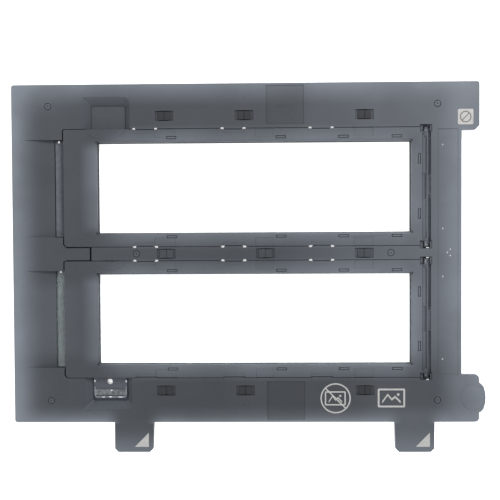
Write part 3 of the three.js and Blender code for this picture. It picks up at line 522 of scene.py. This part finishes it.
def rectangle(x0, x1, y0, y1, corner=0.0, steps=5):
    if not corner:
        return [(x0, y0), (x1, y0), (x1, y1), (x0, y1)]
    points = []
    centres = [(x1 - corner, y0 + corner, -90), (x1 - corner, y1 - corner, 0),
               (x0 + corner, y1 - corner, 90), (x0 + corner, y0 + corner, 180)]
    for x, y, start in centres:
        for i in range(steps + 1):
            turn = math.radians(start + 90 * i / steps)
            points.append((x + corner * math.cos(turn), y + corner * math.sin(turn)))
    return points


def stroke(x0, y0, x1, y1, width):
    """A straight line of a given width, as its four corners."""
    along = Vector((x1 - x0, y1 - y0)).normalized() * width / 2
    side = (-along.y, along.x)
    return [(x0 - side[0], y0 - side[1]), (x1 - side[0], y1 - side[1]),
            (x1 + side[0], y1 + side[1]), (x0 + side[0], y0 + side[1])]


def ring(x, y, radius, width):
    return [circle(x, y, radius), circle(x, y, radius - width)]


def border(x0, x1, y0, y1, width, corner):
    return [rectangle(x0, x1, y0, y1, corner),
            rectangle(x0 + width, x1 - width, y0 + width, y1 - width, corner * 0.4)]


# Triangles on the locating tabs that point at the scanner bed's marks.
ARROW = {"starts": {"left": 77.6, "right": 258.1}, "low": -124.5, "high": -115.4, "width": 9.0}
for tab, x in ARROW["starts"].items():
    triangle = [(x, ARROW["low"]), (x + ARROW["width"], ARROW["low"]), (x + ARROW["width"], ARROW["high"])]
    thin_sheet(f"{tab}_tab_arrow", [triangle], PALE_INK, TOP)


def picture(x0, x1, y0, y1, line):
    """Plain picture sign: the outline of two hills, and a sun."""
    width, height = x1 - x0, y1 - y0
    steps = [(0, 0.1), (0.3, 1), (0.52, 0.42), (0.7, 0.74), (1, 0.1)]
    ridge = [(x0 + width * across, y0 + height * up) for across, up in steps]
    underside = [(x, y - line * 1.4) for x, y in reversed(ridge)]
    return [ridge + underside, circle(x0 + width * 0.87, y0 + height * 0.88, line * 0.85, 20)]


# The sign in its frame, left to right and front to rear, and the same sign crossed out in a ring.
SIGN = {"frame": (233.8, 251.3, -99.1, -87.0), "width": 1.15, "corner": 0.9,
        "picture": (236.7, 248.4, -95.5, -90.2), "line": 1.05}
CROSSED = {"centre": (206.9, -93.2), "radius": 9.7, "width": 0.85, "bar": 0.8,
           "frame": (200.0, 213.4, -97.8, -88.7), "corner": 0.8,
           "picture": (202.4, 211.0, -95.4, -91.2), "line": 0.85}
OVERLAP_RISE = 0.01 * MM  # a bar lies this much above the ring that it crosses


def cross_bar(x, y, reach, width, fall):
    """A slanting bar through a point, as far as reach to both sides. It falls to the right or rises."""
    across = reach * math.sqrt(0.5)
    along = -across if fall else across
    return stroke(x - across, y - along, x + across, y + along, width)


thin_sheet("picture_sign_frame", border(*SIGN["frame"], SIGN["width"], SIGN["corner"]), PALE_INK, TOP)
thin_sheet("picture_sign", picture(*SIGN["picture"], SIGN["line"]), PALE_INK, TOP)
thin_sheet("no_sign_ring", ring(*CROSSED["centre"], CROSSED["radius"], CROSSED["width"]), PALE_INK, TOP)
thin_sheet("no_sign_frame", border(*CROSSED["frame"], CROSSED["width"], CROSSED["corner"]), PALE_INK, TOP)
thin_sheet("no_sign_picture", picture(*CROSSED["picture"], CROSSED["line"]), PALE_INK, TOP)
thin_sheet(
    "no_sign_bar", [cross_bar(*CROSSED["centre"], CROSSED["radius"] - 0.5, CROSSED["bar"], fall=True)],
    PALE_INK, TOP + OVERLAP_RISE)

# The same kind of sign on the label: a ring with a bar across it.
LABEL_RING = {"radius": 3.65, "width": 0.65, "reach": 3.3, "bar": 0.6}
label_middle = (
    ((LABEL_LOW.x + LABEL_HIGH.x) / 2 - PLATE_LEFT) / MM,
    ((LABEL_LOW.y + LABEL_HIGH.y) / 2 - PLATE_MIDDLE) / MM)
thin_sheet(
    "label_ring", ring(*label_middle, LABEL_RING["radius"], LABEL_RING["width"]),
    GREY_INK, LABEL_HIGH.z)
thin_sheet(
    "label_bar", [cross_bar(*label_middle, LABEL_RING["reach"], LABEL_RING["bar"], fall=False)],
    GREY_INK, LABEL_HIGH.z + OVERLAP_RISE)


# ------------------------------------------------------------------ the clear insert's finger tab
INSERT_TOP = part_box("lower_clear_insert")[1].z
TAB = {"x0": 51.2, "x1": 72.0, "front": -93.0, "rear": -86.0, "line": 0.45, "corner": 2.0}
GRIP = {"inset": 0.4, "front": -91.4, "rear": -87.8, "corner": 0.5}
# Bright points where the polished edge catches the light: middle, width and height.
TAB_GLINTS = [
    (51.5, -79.3, 0.6, 0.8), (51.5, -82.3, 0.6, 1.3), (71.6, -79.6, 0.7, 0.7), (71.8, -82.6, 0.5, 1.2),
    (56.9, -92.8, 1.7, 0.4), (61.5, -92.7, 1.4, 0.6), (68.1, -92.8, 2.8, 0.45), (62.3, -88.5, 0.9, 0.6)]
GLINT_CORNER = 0.15
GLINT_RISE = 0.05 * MM


def half_frame(x0, x1, front, rear, line, corner, steps=6):
    """A line along three sides of a tab, round at its two free corners."""
    def side(inset):
        points = [(x0 + inset, rear)]
        for centre_x, start in ((x0 + corner, 180), (x1 - corner, 270)):
            for i in range(steps + 1):
                turn = math.radians(start + 90 * i / steps)
                radius = corner - inset
                points.append((centre_x + radius * math.cos(turn), front + corner + radius * math.sin(turn)))
        return points + [(x1 - inset, rear)]
    return side(0) + side(line)[::-1]


grip_outline = rectangle(
    TAB["x0"] + GRIP["inset"], TAB["x1"] - GRIP["inset"], GRIP["front"], GRIP["rear"], GRIP["corner"])
thin_sheet("tab_frosted_grip", [grip_outline], FROST, INSERT_TOP)
thin_sheet("tab_lit_edge", [half_frame(**TAB)], EDGE_LIGHT, INSERT_TOP)
for number, (x, y, width, height) in enumerate(TAB_GLINTS, 1):
    spot = rectangle(x - width / 2, x + width / 2, y - height / 2, y + height / 2, GLINT_CORNER)
    thin_sheet(f"tab_glint_{number}", [spot], GLINT, INSERT_TOP + GLINT_RISE)


# ------------------------------------------------------------------ floor, lights, camera
def link_object(name, data):
    item = bpy.data.objects.new(name, data)
    bpy.context.scene.collection.objects.link(item)
    return item


def white_floor():
    """A pale table that glows faintly, so that the openings read as bright as the table around the part."""
    half = 3.0
    corners = [(-half, -half, 0), (half, -half, 0), (half, half, 0), (-half, half, 0)]
    mesh = bpy.data.meshes.new("floor")
    mesh.from_pydata(corners, [], [(0, 1, 2, 3)])
    n = Nodes("white_table")
    tint = n.blend(n.ramp(n.noise(3, 2), 0, 1, 0.3, 0.7), (0.86, 0.87, 0.87), (0.9, 0.9, 0.9))
    mesh.materials.append(n.surface(
        Base_Color=tint, Roughness=0.9, Specular_IOR_Level=0.1,
        Emission_Color=(1, 1, 1, 1), Emission_Strength=0.72))
    floor = link_object("floor", mesh)
    floor.location.z = -0.02 * MM


def soft_light(name, place, size, power, aim=(0, 0, 0)):
    light = bpy.data.lights.new(name, "AREA")
    light.shape = "SQUARE"
    light.size = size
    light.energy = power
    lamp = link_object(name, light)
    place, aim = Vector(place), Vector(aim)
    facing = (place - aim).to_track_quat("Z", "Y").to_matrix().to_4x4()
    lamp.matrix_world = Matrix.Translation(place) @ facing


white_floor()
soft_light("key_light", (0.75, 1.0, 1.3), 0.8, 26)
soft_light("left_light", (-1.3, 0.3, 1.0), 1.0, 13)
soft_light("front_light", (0.1, -1.4, 1.0), 1.0, 11)

world = bpy.data.worlds.new("studio")
bpy.context.scene.world = world
world.use_nodes = True
world.node_tree.nodes["Background"].inputs["Color"].default_value = (0.95, 0.97, 1.0, 1)
world.node_tree.nodes["Background"].inputs["Strength"].default_value = 0.55

# The camera looks straight down from 0.6 m above the top face, turned and tilted by very little (radians).
CAMERA_PLACE = Vector((15.1, 29.3, 608.0)) * MM
CAMERA_TURNS = {"X": 0.0290419, "Y": -0.0230852, "Z": 0.0050317}
CAMERA_LENS = 67.61
camera_data = bpy.data.cameras.new("camera")
camera_data.lens = CAMERA_LENS
camera_data.sensor_width = 36
camera_data.clip_start = 0.01
camera = link_object("camera", camera_data)
turn = Matrix.Identity(3)
for axis in "XYZ":
    turn = Matrix.Rotation(CAMERA_TURNS[axis], 3, axis) @ turn
camera.matrix_world = Matrix.Translation(CAMERA_PLACE) @ turn.transposed().to_4x4()
bpy.context.scene.camera = camera
bpy.context.scene.view_settings.view_transform = "Standard"
